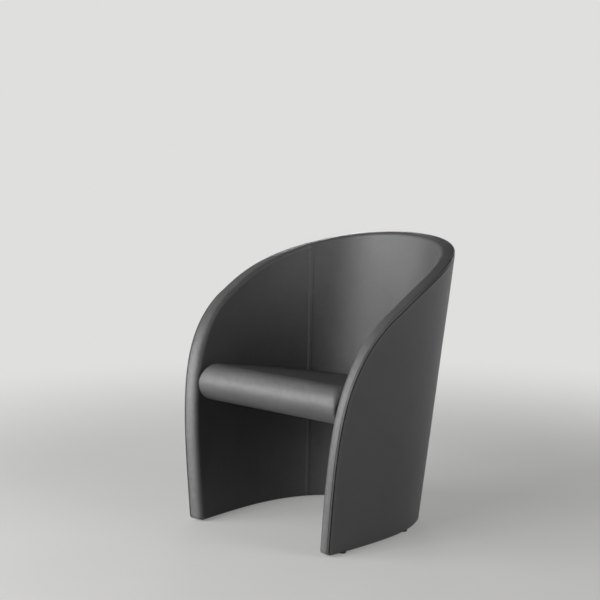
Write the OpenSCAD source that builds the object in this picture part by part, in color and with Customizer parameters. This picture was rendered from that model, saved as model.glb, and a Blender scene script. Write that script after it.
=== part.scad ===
// Tub chair: one curved, upholstered shell from floor to rim, with a seat hung inside it.
// Millimetres, +Z up. The chair faces -Y and is symmetric about X = 0.
// The origin lies on the floor, below the middle of the chair's depth.

/* [Shell outline] */
// Height of the rim at the middle of the back
chair_h = 780; // [740:1:820]
// Width across the outer skin at the floor
foot_w = 540; // [520:1:570]
// Width across the outer skin where it is carried up to the full height
top_w = 688; // [680:1:740]
// Reach of the back behind the widest line, at the floor
floor_rear = 345; // [330:1:365]
// Reach of the back behind the widest line, at the rim
top_rear = 463; // [440:1:485]
// Depth of the ellipse that the arms follow in front of the widest line
arm_reach = 669; // [630:1:710]
// Angle on that ellipse at which the arms end, in degrees
arm_sweep = 16.5; // [14:0.1:18]
// Power of the back's rounded plan, where 2 is an ellipse
plan_power = 2.34; // [2:0.01:2.6]
// Power of the rim's sweep along the plan
sweep_power = 1.69; // [1.5:0.001:1.9]
// Power of the rim's rise
rise_power = 5.9; // [5:0.01:7]
// Radius of the lower corner of each front edge
corner_r = 8; // [4:0.5:12]

/* [Shell build-up] */
// Thickness of the finished wall
wall_t = 42; // [39:0.5:46]
// Thickness of the leather
leather_t = 1.5; // [1.2:0.1:2]
// Thickness of the foam under the outer leather
outer_foam_t = 4; // [3:0.5:6]
// Thickness of the moulded plywood
ply_t = 12; // [9:0.5:15]
// Radius of the rim's soft inner edge
rim_r = 19; // [15:0.5:22]
// Radius of the piped seam along the rim's outer edge
welt_r = 1.8; // [1.2:0.1:2.4]
// How far the piped seam stands out of the outer leather
welt_out = 0.6; // [0.3:0.1:1]
// Rim angle at which the two seams of the inner leather leave the rim, in degrees
seam_rise = 58.4; // [50:0.1:66]

/* [Base] */
// Height of the glides, which is the gap below the base strip
glide_h = 5; // [3:0.5:10]
// Diameter of a glide
glide_d = 20; // [14:0.5:24]
// Diameter of a glide's nail
nail_d = 2.8; // [2:0.1:3.5]
// Length of a glide's nail above the strip
nail_l = 18; // [12:1:25]
// Thickness of the strip that closes the shell's lower edge
strip_t = 1.5; // [1:0.1:3]
// How far the strip stays inside the leather's faces
strip_inset = 2; // [1:0.5:4]

/* [Seat] */
// Height of the front roll's crest
seat_h = 438; // [420:1:460]
// Thickness of the seat, which is the diameter of its front roll
seat_t = 102; // [90:1:110]
// Distance from the arms' front edges back to the middle of the roll
seat_set_back = 81.4; // [80:0.2:110]
// Fall of the seat towards the back, in degrees
seat_fall = 10; // [6:0.5:12]
// Rise of the seat's middle above its edges
crown_h = 7; // [3:0.5:12]
// Rounding of the seat's upper edge along the wall
edge_r = 26; // [16:1:32]
// Rounding of the seat's lower edge along the wall
tuck_r = 5; // [3:0.5:8]
// Rounding of the roll's ends, seen from above
roll_end_r = 20; // [12:1:26]
// Gap between the seat and the wall
seat_gap = 0.7; // [0.3:0.1:2]

/* [Seat frame] */
// Thickness of the plywood ring
ring_t = 21; // [18:1:25]
// Width of the ring along the wall
ring_w = 62; // [50:1:75]
// Width of the ring along the front
ring_front_w = 70; // [55:1:90]
// Depth of the front rail in front of the ring
rail_front = 24; // [18:1:28]
// Depth of the front rail on top of the ring
rail_seat = 14; // [10:1:20]
// Height of the front rail above the ring
rail_h = 34; // [26:1:40]
// How far the front rail reaches down in front of the ring
rail_lip = 9; // [6:0.5:11]
// Rounding of the front rail's edges
rail_r = 5; // [3:0.5:8]
// Foam over each end of the front rail
rail_end = 12; // [8:1:20]
// Width of a webbing belt
belt_w = 50; // [40:1:60]
// Thickness of a webbing belt
belt_t = 2; // [1.5:0.1:3]
// Overlap of a belt's end on the ring
belt_lap = 28; // [20:1:34]
// Thickness of the cloth under the seat
cloth_t = 1; // [0.6:0.1:1.5]
// Leather turned under the ring along the wall
hem_side = 24; // [16:1:32]
// Leather turned under the ring along the front
hem_front = 40; // [30:1:50]

/* [Seat fixings] */
// Width of a seat block along the wall
block_w = 60; // [50:1:70]
// Height of a seat block above the ring
block_h = 44; // [36:1:50]
// Depth of a seat block's inner face from the wall
block_t = 32; // [28:1:34]
// Room between the wall and a block, which the seat's leather fills
block_gap = 4.5; // [4:0.1:5]
// Diameter of a bolt
bolt_d = 6; // [5:0.5:8]
// Diameter of a bolt's flat head
bolt_head_d = 15; // [12:0.5:18]
// Height of a bolt's flat head
bolt_head_h = 3; // [2.5:0.5:3]
// Outer diameter of a spacer bush
bush_d = 16; // [14:0.5:20]
// Room at a bush's outer end
bush_play = 0.5; // [0.2:0.1:0.8]
// Diameter of a tee nut's flange
nut_flange_d = 20; // [18:0.5:24]
// Thickness of a tee nut's flange
nut_flange_t = 1.2; // [1:0.1:1.6]
// Diameter of a tee nut's barrel
nut_barrel_d = 8; // [7.5:0.1:10]
// Length of a tee nut's barrel
nut_barrel_l = 9; // [8:0.5:12]
// Distance of a block screw from its bolt, along the wall
screw_spread = 19; // [16:0.5:24]
// Diameter of a block screw
screw_d = 4.5; // [4:0.5:6]
// Diameter of a block screw's head
screw_head_d = 9; // [8:0.5:11]
// Height of a block screw's head
screw_head_h = 3; // [2.5:0.5:4]
// Length of a block screw under its head
screw_l = 36; // [30:1:40]
// Clearance round fasteners
fit_gap = 0.2; // [0.1:0.05:0.3]

/* [Hidden] */
$fn = 48;

// How far cutting shapes run past what they cut
overrun = 2;

// Corrections of the rim's sweep, as shares of it
rim_swell_share = 0.0358;
rim_skew_share = -0.0245;
// How much closer the columns stand at the top of the arms
crowding_share = 0.43;
// First base point behind the foot, as a share of the base up to the seam
first_base_share = 0.085;
// Places of the columns in the foot's rounded corner
corner_shares = [0, 0.3, 1];
// Number of columns up to the seam and from it to the middle of the back
arm_columns = 20;
back_columns = 8;
// Number of steps down the wall, and round the rim's soft edge
wall_steps = 6;
rim_steps = 4;
welt_sides = 6;
// Angle used to measure lengths along the plan
probe = 1;

// Depths of the layers' faces, measured from the outer leather's face inwards
outer_foam_d = leather_t;
ply_d = outer_foam_d + outer_foam_t;
inner_foam_d = ply_d + ply_t;
inner_cover_d = wall_t - leather_t;

// Lower edge of the leather, foam and plywood
bottom_z = glide_h + strip_t;

// Middle of the chair's depth, measured from the widest line
front_y = -arm_reach * sin(arm_sweep);
depth_mid = (top_rear + welt_out + front_y) / 2;

// Half width and rear reach of the outer skin at height z
function half_w(z) = (foot_w + (top_w - foot_w) * z / chair_h) / 2;
function rear_reach(z) = floor_rear + (top_rear - floor_rear) * z / chair_h;

// Superellipse factor, with the sign of its argument
function bend(v) = sign(v) * pow(abs(v), 2 / plan_power);

// Outer skin's plan at height z: negative angles are the arms, 90 is the middle of the back
function plan(angle, z) = angle > 0
    ? [half_w(z) * bend(cos(angle)), rear_reach(z) * bend(sin(angle))]
    : [half_w(z) * cos(angle), arm_reach * sin(angle)];

// Unit vector out of the skin, in plan
function turn(v) = sign(v) * pow(abs(v), 2 - 2 / plan_power);
function outward(angle, z) =
    let (v = angle > 0
        ? [rear_reach(z) * turn(cos(angle)), half_w(z) * turn(sin(angle))]
        : [arm_reach * cos(angle), half_w(z) * sin(angle)])
    v / norm(v);

// Point on the wall: angle, height and depth below the outer skin
function wall_spot(angle, z, depth) =
    let (p = plan(angle, z) - depth * outward(angle, z))
    [p[0], p[1] - depth_mid, z];

// Lean of the wall, in millimetres outwards per millimetre of height
function lean(angle, z) =
    let (dx = (top_w - foot_w) / 2 / chair_h * plan(angle, z)[0] / half_w(z),
         dy = angle > 0 ? (top_rear - floor_rear) / chair_h * bend(sin(angle)) : 0)
    [dx, dy] * outward(angle, z);

// Length along the plan for each degree
function reach_per_degree(angle, z) =
    norm(plan(angle + probe, z) - plan(angle - probe, z)) / (2 * probe);

// Rim of the shell as [angle, height], for a rim angle from 0 at the foot to 90 at the back
function rim(t) =
    let (g = pow(cos(t), 2 / sweep_power)
        * (1 + rim_swell_share * pow(sin(2 * t), 2) + rim_skew_share * sin(4 * t)))
    [90 - (90 + arm_sweep) * g, chair_h * pow(sin(t), 2 / rise_power)];
function rim_angle_at(z) = asin(pow(z / chair_h, rise_power / 2));

// Rim angles of the columns of the right half, from the foot to the middle of the back
seam_z = rim(seam_rise)[1];
arm_start_z = bottom_z + corner_r;
column_rims = concat(
    [for (s = corner_shares) rim_angle_at(bottom_z + s * corner_r)],
    [for (i = [1 : arm_columns])
        let (s = i / arm_columns)
        rim_angle_at(arm_start_z + (seam_z - arm_start_z) * s * (1 + crowding_share * (1 - s)))],
    [for (i = [1 : back_columns]) seam_rise + (90 - seam_rise) * i / back_columns]);
last_column = len(column_rims) - 1;
seam_column = last_column - back_columns;
rims = [for (t = column_rims) rim(t)];

// Set back of a column in the foot's rounded corner
function corner_back(z) =
    let (up = max(0, corner_r - (z - bottom_z)))
    corner_r - sqrt(corner_r * corner_r - up * up);

// Direction into the wall at a column, square to the rim, as [along the plan, up]
function inward(i) = i == 0 ? [1, 0] : i == last_column ? [0, -1] :
    let (a = rims[i - 1], b = rims[i + 1],
         v = [(b[0] - a[0]) * reach_per_degree(rims[i][0], rims[i][1]), b[1] - a[1]])
    [v[1], -v[0]] / norm(v);

// Wall coordinates [angle, height] at a distance below the rim
function below_rim(i, e) =
    let (r = rims[i], dir = inward(i), run = e + corner_back(r[1]))
    [r[0] + run * dir[0] / reach_per_degree(r[0], r[1]), r[1] + run * dir[1]];

// Wall coordinates of a column's lower end
function base_of(i) = i > seam_column ? [rims[i][0], bottom_z] :
    let (s = (rims[i][1] - bottom_z) / (seam_z - bottom_z),
         share = first_base_share + (1 - first_base_share) * s)
    [-arm_sweep + (rims[seam_column][0] + arm_sweep) * share, bottom_z];

// For each column: the foot of its rim section and its lower end
rim_feet = [for (i = [0 : last_column]) below_rim(i, rim_r)];
bases = [for (i = [0 : last_column]) base_of(i)];

// Columns of both halves, from the right foot over the back to the left foot
function half_index(k) = k <= last_column ? k : 2 * last_column - k;
function half_side(k) = k <= last_column ? 1 : -1;
function sided(p, k) = [half_side(k) * p[0], p[1], p[2]];

// Point of column k at a depth, either near the rim or on a step down the wall
function rim_point(k, depth, e) =
    let (w = below_rim(half_index(k), e))
    sided(wall_spot(w[0], w[1], depth), k);
function wall_point(k, depth, step) =
    let (i = half_index(k), w = rim_feet[i] + (bases[i] - rim_feet[i]) * step / wall_steps)
    sided(wall_spot(w[0], w[1], depth), k);

function reversed(list) = [for (i = [len(list) - 1 : -1 : 0]) list[i]];

// Section of a layer at column k: up its outer face, over the rim and down its inner face
function layer_section(k, outer_d, rim_line, inner_d) = concat(
    [for (j = [wall_steps : -1 : 0]) wall_point(k, outer_d, j)],
    [for (p = rim_line) rim_point(k, p[0], p[1])],
    [for (j = [0 : wall_steps]) wall_point(k, inner_d, j)]);

// Soft inner edge of the rim as [depth, distance below the rim], for a skin inside the leather
function soft_edge(skin) = [for (j = [0 : rim_steps - 1])
    let (a = 90 - 90 * j / rim_steps)
    [wall_t - rim_r + (rim_r - skin) * cos(a), rim_r - (rim_r - skin) * sin(a)]];

// Faces between rings k and k + 1 of n points each. Each patch is split along its shorter diagonal,
// so that layers that touch have the same facets.
function ring_faces(points, k, n) = [for (m = [0 : n - 1])
    let (a = k * n + m, b = k * n + (m + 1) % n, c = b + n, d = a + n)
    each norm(points[a] - points[c]) < norm(points[b] - points[d])
        ? [[a, b, c], [a, c, d]]
        : [[a, b, d], [b, c, d]]];

// End of a band whose two long sides have the same number of points
function band_end(n, from) = [for (m = [0 : n / 2 - 2])
    each [[from + m, from + m + 1, from + n - 2 - m], [from + m, from + n - 2 - m, from + n - 1 - m]]];
function turned(faces) = [for (f = faces) [f[2], f[1], f[0]]];

// Solid skinned over rings of points, each the section of a band
module skinned(rings) {
    n = len(rings[0]);
    last = len(rings) - 1;
    points = [for (r = rings) each r];
    polyhedron(
        points = points,
        faces = concat(
            [for (k = [0 : last - 1]) each ring_faces(points, k, n)],
            turned(band_end(n, 0)),
            band_end(n, last * n)));
}

// Solid skinned over round rings of points, closed to the middle of the first and last
module skinned_round(rings) {
    n = len(rings[0]);
    last = len(rings) - 1;
    function middle(r) = [for (axis = [0 : 2]) [for (p = r) p[axis]] * [for (p = r) 1 / n]];
    function fan(from, hub) = [for (m = [0 : n - 1]) [from + m, from + (m + 1) % n, hub]];
    points = concat([for (r = rings) each r], [middle(rings[0]), middle(rings[last])]);
    polyhedron(
        points = points,
        faces = concat(
            [for (k = [0 : last - 1]) each ring_faces(points, k, n)],
            turned(fan(0, n * (last + 1))),
            fan(last * n, n * (last + 1) + 1)));
}

// One layer of the shell
module layer(outer_d, rim_line, inner_d) {
    skinned([for (k = [0 : 2 * last_column]) layer_section(k, outer_d, rim_line, inner_d)]);
}

// Where the outer leather, the foam and the inner leather end at the piped seam
outer_cover_top = 2 * welt_r + fit_gap;
inner_cover_end = 2 * welt_r - welt_out + fit_gap;
foam_corner = 2 * welt_r + leather_t;

// Section of the inner leather at column k: up its back, over the rim and down its face
function inner_cover_section(k) = concat(
    [for (j = [wall_steps : -1 : 0]) wall_point(k, inner_cover_d, j)],
    [for (p = reversed(soft_edge(leather_t))) rim_point(k, p[0], p[1])],
    [rim_point(k, inner_cover_end, leather_t), rim_point(k, inner_cover_end, 0)],
    [for (p = soft_edge(0)) rim_point(k, p[0], p[1])],
    [for (j = [0 : wall_steps]) wall_point(k, wall_t, j)]);

// Frame on the wall's inner face: +X points into the room of the chair, +Z up along the wall
module on_wall(angle, z) {
    p = wall_spot(angle, z, wall_t);
    n = outward(angle, z);
    translate(p)
        rotate([0, 0, atan2(-n[1], -n[0])])
            rotate([0, -atan(lean(angle, z)), 0])
                children();
}

// Place along a wall frame's X of a face that lies at a depth below the outer skin
function wall_x(depth, angle, z) = -(wall_t - depth) * cos(atan(lean(angle, z)));

// Middle of the seat's front roll
roll_r = seat_t / 2;
roll_y = front_y + seat_set_back;
roll_z = seat_h - roll_r;

// Seat frame: +Y runs back along the seat, +Z square to it, origin in the middle of the roll
module on_seat() {
    translate([0, roll_y - depth_mid, roll_z]) rotate([-seat_fall, 0, 0]) children();
}
function seat_world_z(u, h) = roll_z - u * sin(seat_fall) + h * cos(seat_fall);
function seat_world_y(u, h) = roll_y + u * cos(seat_fall) + h * sin(seat_fall);
function seat_u_of(y, h) = (y - roll_y - h * sin(seat_fall)) / cos(seat_fall);

// Spot [x, y] in plan, kept clear of the wall's inner face by a gap
function room_spot(angle, z, gap) = plan(angle, z) - (wall_t + gap) * outward(angle, z);

// Half width of the room between the arms at a place on the seat, up to the widest line
function room_half_w(u, h, gap) =
    let (y = min(0, seat_world_y(u, h)), z = seat_world_z(u, h),
         slant = outward(asin(y / arm_reach), z)[1])
    room_spot(asin((y + (wall_t + gap) * slant) / arm_reach), z, gap)[0];

// Spot [x, along the seat] on the room's round back, from 0 at the right side to 180 at the left
function back_try(angle, h, gap, z) =
    let (p = room_spot(angle, z, gap)) [p[0], seat_u_of(p[1], h)];
function back_spot(angle, h, gap) =
    let (first = back_try(angle, h, gap, roll_z),
         second = back_try(angle, h, gap, seat_world_z(first[1], h)))
    back_try(angle, h, gap, seat_world_z(second[1], h));

// Outline of a seat piece at height h, from a straight front with rounded ends round the back
outline_front_shares = [0.75, 0.5, 0.25, 0, -0.25, -0.5, -0.75];
outline_side_shares = [0.33, 0.66];
corner_steps = 3;
back_steps = 24;
function seat_side(h, gap, front_u, end_r) =
    let (start = front_u + end_r, widest = seat_u_of(0, h))
    concat(
        [for (a = [0 : corner_steps])
            let (t = 90 * a / corner_steps, u = start - end_r * cos(t))
            [room_half_w(start, h, gap) - end_r * (1 - sin(t)), u]],
        [for (s = outline_side_shares)
            let (u = start + (widest - start) * s) [room_half_w(u, h, gap), u]]);
function seat_outline(h, gap, front_u, end_r) =
    let (side = seat_side(h, gap, front_u, end_r), n = len(side))
    concat(
        side,
        [for (a = [0 : back_steps]) back_spot(180 * a / back_steps, h, gap)],
        [for (i = [n - 1 : -1 : 0]) [-side[i][0], side[i][1]]],
        [for (s = outline_front_shares) [-side[0][0] * s, front_u]]);

// One ring of the seat's skin: t is -90 below, 0 at the roll's front and 90 on top
function seat_skin_ring(t, skin) =
    let (r = roll_r - skin, h = r * sin(t),
         draw = (t > 0 ? edge_r : tuck_r) * (1 - sqrt(max(0, cos(t)))))
    [for (p = seat_outline(h, seat_gap + skin + draw, -r * cos(t), roll_end_r - skin)) [p[0], p[1], h]];

// Crown of the seat: the top ring drawn in towards a middle spot and raised
crown_shares = [0.15, 0.35, 0.6, 0.85];
crown_middle = seat_u_of(0, roll_r) * 2;
function crown_ring(share, skin) = [for (p = seat_skin_ring(90, skin))
    [p[0] * (1 - share), p[1] + (crown_middle - p[1]) * share,
     p[2] + crown_h * (1 - cos(180 * share)) / 2]];

// Rings of the seat's skin from the crown down to its underside
skin_turns = [90, 67.5, 45, 22.5, 0, -22.5, -45, -67.5, -90];
function seat_skin(skin) = concat(
    [for (i = [len(crown_shares) - 1 : -1 : 0]) crown_ring(crown_shares[i], skin)],
    [for (t = skin_turns) seat_skin_ring(t, skin)]);
// Heights in the seat frame: underside, ring, webbing and foam
under_h = -roll_r;
ring_h = under_h + leather_t;
belts_h = ring_h + ring_t;
foam_h = belts_h + 2 * belt_t;
ring_gap = seat_gap + leather_t + tuck_r + fit_gap;

// Edge of the leather's turned-in hem, at one of its faces
function hem_ring(h) =
    [for (p = seat_outline(h, seat_gap + hem_side, hem_front, roll_end_r)) [p[0], p[1], h]];

// Places of the seat blocks round the wall, and the heights of their bolts
block_angles = [-2, 16, 90, 164, 182];
bolt_h = belts_h + block_h / 2;
function right_angle_of(a) = a > 90 ? 180 - a : a;
function bolt_z_from(a, z) = seat_world_z(seat_u_of(room_spot(a, z, 0)[1], bolt_h), bolt_h);
function block_z(a) = bolt_z_from(a, bolt_z_from(a, roll_z));

// Children at each bolt, in the wall's frame
module at_bolts() {
    for (a = block_angles)
        mirror([a > 90 ? 1 : 0, 0, 0])
            on_wall(right_angle_of(a), block_z(right_angle_of(a)))
                children();
}

// Round bar along the wall frame's X between two places
module wall_bar(d, from, to) {
    translate([from, 0, 0]) rotate([0, 90, 0]) cylinder(d = d, h = to - from);
}

// Bar through the wall at each bolt, between two depths below the outer skin, run on past the second
module bolt_bars(d, from_depth, to_depth, past = 0) {
    for (a = block_angles) {
        angle = right_angle_of(a);
        z = block_z(angle);
        mirror([a > 90 ? 1 : 0, 0, 0])
            on_wall(angle, z)
                wall_bar(d, wall_x(from_depth, angle, z), wall_x(to_depth, angle, z) + past);
    }
}

// Two screws to each block, up through the ring, drawn from the heads' inner faces
module at_screws() {
    for (a = block_angles) {
        angle = right_angle_of(a);
        n = outward(angle, block_z(angle));
        middle = room_spot(angle, block_z(angle), (block_gap + block_t) / 2);
        for (side = [-1, 1]) {
            spot = middle + side * screw_spread * [-n[1], n[0]];
            mirror([a > 90 ? 1 : 0, 0, 0])
                on_seat()
                    translate([spot[0], seat_u_of(spot[1], belts_h), ring_h + screw_head_h])
                        children();
        }
    }
}
module screw_bores() {
    at_screws() {
        cylinder(d = screw_d + 2 * fit_gap, h = screw_l + fit_gap);
        translate([0, 0, -screw_head_h - overrun])
            cylinder(d = screw_head_d + 2 * fit_gap, h = screw_head_h + overrun);
    }
}

// Shell

module plywood_shell() {
    color("burlywood")
        difference() {
            layer(ply_d, [], inner_foam_d);
            bolt_bars(bolt_d + 2 * fit_gap, ply_d - overrun, inner_foam_d + overrun);
            at_glides() nail_bore();
        }
}

module outer_foam() {
    color("lightyellow")
        difference() {
            layer(outer_foam_d, [], ply_d);
            bolt_bars(bolt_head_d + 2 * fit_gap, outer_foam_d - overrun, ply_d + overrun);
        }
}

// The foam under the inner leather wraps over the plywood's upper edge, in a piece under each panel
function foam_rim_line() = concat(
    [[ply_d, rim_r], [outer_foam_d, rim_r], [outer_foam_d, foam_corner], [foam_corner, leather_t]],
    soft_edge(leather_t));
module inner_foam_panel(first, last) {
    rim_line = foam_rim_line();
    color("khaki")
        difference() {
            skinned([for (k = [first : last]) concat(
                [for (j = [wall_steps : -1 : 0]) wall_point(k, inner_foam_d, j)],
                [for (p = rim_line) rim_point(k, p[0], p[1])],
                [for (j = [0 : wall_steps]) wall_point(k, inner_cover_d, j)])]);
            bolt_bars(bush_d + 2 * fit_gap, inner_foam_d - overrun, wall_t + overrun);
        }
}
module inner_foam_right() {
    inner_foam_panel(0, seam_column);
}
module inner_foam_back() {
    inner_foam_panel(seam_column, 2 * last_column - seam_column);
}
module inner_foam_left() {
    inner_foam_panel(2 * last_column - seam_column, 2 * last_column);
}

module inner_cover_panel(first, last) {
    color([0.25, 0.25, 0.25])
        difference() {
            skinned([for (k = [first : last]) inner_cover_section(k)]);
            bolt_bars(bush_d + 2 * fit_gap, inner_cover_d - overrun, wall_t + overrun);
        }
}
module inner_cover_right() {
    inner_cover_panel(0, seam_column);
}
module inner_cover_back() {
    inner_cover_panel(seam_column, 2 * last_column - seam_column);
}
module inner_cover_left() {
    inner_cover_panel(2 * last_column - seam_column, 2 * last_column);
}

module outer_cover() {
    color([0.28, 0.28, 0.28])
        skinned([for (k = [0 : 2 * last_column]) outer_cover_section(k)]);
}
function outer_cover_section(k) = concat(
    [for (j = [wall_steps : -1 : 0]) wall_point(k, 0, j)],
    [rim_point(k, 0, foam_corner), rim_point(k, 0, outer_cover_top)],
    [rim_point(k, leather_t, outer_cover_top), rim_point(k, leather_t, foam_corner)],
    [for (j = [0 : wall_steps]) wall_point(k, leather_t, j)]);

// Piped seam between the outer and the inner leather
module edge_welt() {
    color([0.2, 0.2, 0.2])
        skinned([for (k = [0 : 2 * last_column])
            [for (i = [0 : welt_sides - 1])
                let (a = 360 * i / welt_sides)
                rim_point(k, welt_r - welt_out - welt_r * cos(a), welt_r - welt_r * sin(a))]]);
}

// Base

// Plan outline of the wall's lower edge, between two depths
strip_columns = 32;
strip_start = -arm_sweep + (corner_r + strip_inset) / reach_per_degree(-arm_sweep, bottom_z);
function strip_line(depth) = [for (i = [0 : 2 * strip_columns])
    let (k = i <= strip_columns ? i : 2 * strip_columns - i,
         p = wall_spot(strip_start + (90 - strip_start) * k / strip_columns, bottom_z, depth))
    [(i <= strip_columns ? 1 : -1) * p[0], p[1]]];

module base_strip() {
    color([0.08, 0.08, 0.08])
        difference() {
            translate([0, 0, glide_h])
                linear_extrude(strip_t)
                    polygon(concat(strip_line(strip_inset), reversed(strip_line(wall_t - strip_inset))));
            at_glides() nail_bore();
        }
}

// Angles of the glides round the shell, under the middle of the plywood
glide_angles = [-11, 20, 52, 90, 128, 160, 191];
module at_glides() {
    for (a = glide_angles) {
        p = wall_spot(right_angle_of(a), bottom_z, ply_d + ply_t / 2);
        translate([(a > 90 ? -1 : 1) * p[0], p[1], 0]) children();
    }
}
module nail_bore() {
    translate([0, 0, glide_h - overrun])
        cylinder(d = nail_d + 2 * fit_gap, h = overrun + strip_t + nail_l + fit_gap);
}
glide_edge = glide_h / 4;
module glides() {
    color([0.1, 0.1, 0.1])
        at_glides()
            rotate_extrude()
                polygon([[0, 0], [glide_d / 2 - glide_edge, 0], [glide_d / 2, glide_edge],
                    [glide_d / 2, glide_h], [nail_d / 2, glide_h],
                    [nail_d / 2, glide_h + strip_t + nail_l - nail_d], [0, glide_h + strip_t + nail_l]]);
}

// Seat

module seat_ring() {
    color("tan")
        difference() {
            on_seat()
                translate([0, 0, ring_h])
                    linear_extrude(ring_t)
                        difference() {
                            polygon(seat_outline(ring_h, ring_gap, 0, roll_end_r));
                            polygon(seat_outline(ring_h, ring_gap + ring_w, ring_front_w, rail_seat));
                        }
            screw_bores();
        }
}

// Profile of the rebated front rail as [along the seat, height]
module rail_profile() {
    offset(r = rail_r) offset(delta = -rail_r)
        polygon([[-rail_front, belts_h - rail_lip], [0, belts_h - rail_lip], [0, belts_h],
            [rail_seat, belts_h], [rail_seat, belts_h + rail_h], [-rail_front, belts_h + rail_h]]);
}

module rail_bar() {
    half = room_half_w(-rail_front, belts_h, seat_gap + leather_t + rail_end);
    translate([-half, 0, 0]) rotate([90, 0, 90]) linear_extrude(2 * half) rail_profile();
}
module seat_front_rail() {
    color("burlywood") on_seat() rail_bar();
}

// Webbing belts lie on the ring in two crossed layers and end on it
across_belts = 5;
lengthwise_belts = 4;
belts_back = back_spot(90, belts_h, ring_gap + ring_w)[1];
belts_room = room_half_w(seat_u_of(0, belts_h), belts_h, ring_gap + ring_w);
module belt_field() {
    linear_extrude(belt_t)
        intersection() {
            polygon(seat_outline(belts_h, ring_gap + ring_w - belt_lap, ring_front_w - belt_lap, rail_seat));
            children();
        }
}
module webbing_across() {
    pitch = (belts_back - ring_front_w) / across_belts;
    color("dimgray")
        on_seat()
            translate([0, 0, belts_h])
                belt_field()
                    for (i = [0 : across_belts - 1])
                        translate([0, ring_front_w + pitch * (i + 0.5)])
                            square([foot_w, belt_w], center = true);
}
module webbing_lengthwise() {
    pitch = 2 * belts_room / lengthwise_belts;
    color("gray")
        on_seat()
            translate([0, 0, belts_h + belt_t])
                belt_field()
                    for (i = [0 : lengthwise_belts - 1])
                        translate([-belts_room + pitch * (i + 0.5), belts_back / 2])
                            square([belt_w, 2 * belts_back], center = true);
}

module seat_foam() {
    color("khaki")
        difference() {
            on_seat()
                difference() {
                    skinned_round(seat_skin(leather_t));
                    rail_bar();
                    translate([-top_w / 2, 0, under_h - overrun])
                        cube([top_w, top_rear + arm_reach, foam_h - under_h + overrun]);
                }
            block_bodies(-overrun, nut_flange_t + fit_gap, fit_gap);
        }
}

// The seat's leather goes over the foam and ends in a hem under the ring
module seat_cover() {
    color([0.25, 0.25, 0.25])
        difference() {
            on_seat()
                skinned_round(concat(seat_skin(0), [hem_ring(under_h), hem_ring(ring_h)],
                    reversed(seat_skin(leather_t))));
            bolt_bars(bush_d + 2 * fit_gap, wall_t - overrun, wall_t, block_gap + overrun);
        }
}

module seat_cloth() {
    color([0.1, 0.1, 0.1])
        on_seat()
            translate([0, 0, ring_h - cloth_t])
                linear_extrude(cloth_t)
                    polygon(seat_outline(
                        ring_h, seat_gap + hem_side + fit_gap, hem_front + fit_gap, roll_end_r));
}

// Seat fixings

// Bodies of the seat blocks in the wall's frame, grown by the room that a pocket needs
module block_bodies(from, past = 0, room = 0) {
    at_bolts()
        translate([from, -block_w / 2 - room, -block_h])
            cube([block_t + past - from, block_w + 2 * room, block_h * 3 / 2 + room]);
}

module seat_blocks() {
    color("peru")
        difference() {
            block_bodies(block_gap);
            on_seat()
                translate([-top_w / 2, -arm_reach, belts_h - 2 * block_h])
                    cube([top_w, 2 * arm_reach, 2 * block_h]);
            bolt_bars(bolt_d + 2 * fit_gap, wall_t - overrun, wall_t, block_t + overrun);
            at_bolts()
                wall_bar(nut_barrel_d + 2 * fit_gap, block_t - nut_barrel_l - fit_gap, block_t + overrun);
            screw_bores();
        }
}

// Bushes stand through the soft layers and hold each block off the plywood
module spacer_bushes() {
    color("silver")
        difference() {
            bolt_bars(bush_d, inner_foam_d + bush_play, wall_t, block_gap);
            bolt_bars(bolt_d + 2 * fit_gap, ply_d, wall_t, block_t);
        }
}

// Bolts go in from the outside, with their flat heads in the outer foam
module seat_bolts() {
    color("dimgray") {
        bolt_bars(bolt_d, ply_d - bolt_head_h, wall_t, block_t + nut_flange_t);
        bolt_bars(bolt_head_d, ply_d - bolt_head_h, ply_d);
    }
}

module tee_nuts() {
    color("silver")
        at_bolts()
            difference() {
                union() {
                    wall_bar(nut_barrel_d, block_t - nut_barrel_l, block_t + nut_flange_t);
                    wall_bar(nut_flange_d, block_t, block_t + nut_flange_t);
                }
                wall_bar(bolt_d + 2 * fit_gap, 0, block_t + nut_flange_t + overrun);
            }
}

module block_screws() {
    color("silver")
        at_screws() {
            cylinder(d = screw_d, h = screw_l);
            translate([0, 0, -screw_head_h]) cylinder(d = screw_head_d, h = screw_head_h);
        }
}

plywood_shell();
outer_foam();
inner_foam_left();
inner_foam_back();
inner_foam_right();
inner_cover_left();
inner_cover_back();
inner_cover_right();
outer_cover();
edge_welt();
base_strip();
glides();
seat_ring();
seat_front_rail();
webbing_across();
webbing_lengthwise();
seat_foam();
seat_cover();
seat_cloth();
seat_blocks();
spacer_bushes();
seat_bolts();
tee_nuts();
block_screws();
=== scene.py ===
"""Tub chair: the leather, seams, seat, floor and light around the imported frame."""

import math

import bmesh
import bpy
import numpy as np
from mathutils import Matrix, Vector, noise


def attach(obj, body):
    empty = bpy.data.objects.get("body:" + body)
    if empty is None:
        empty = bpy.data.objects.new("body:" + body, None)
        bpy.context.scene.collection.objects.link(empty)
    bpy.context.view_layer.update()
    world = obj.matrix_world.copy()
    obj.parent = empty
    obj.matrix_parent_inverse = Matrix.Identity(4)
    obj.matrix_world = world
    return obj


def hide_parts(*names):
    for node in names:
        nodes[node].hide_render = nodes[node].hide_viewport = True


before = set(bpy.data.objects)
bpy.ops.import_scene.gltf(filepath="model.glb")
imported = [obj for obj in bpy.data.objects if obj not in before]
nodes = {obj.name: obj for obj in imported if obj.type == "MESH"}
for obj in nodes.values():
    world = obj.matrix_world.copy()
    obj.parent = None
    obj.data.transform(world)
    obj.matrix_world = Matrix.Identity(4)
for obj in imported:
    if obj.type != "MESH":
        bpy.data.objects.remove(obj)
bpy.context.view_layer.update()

MM = 0.001

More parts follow.
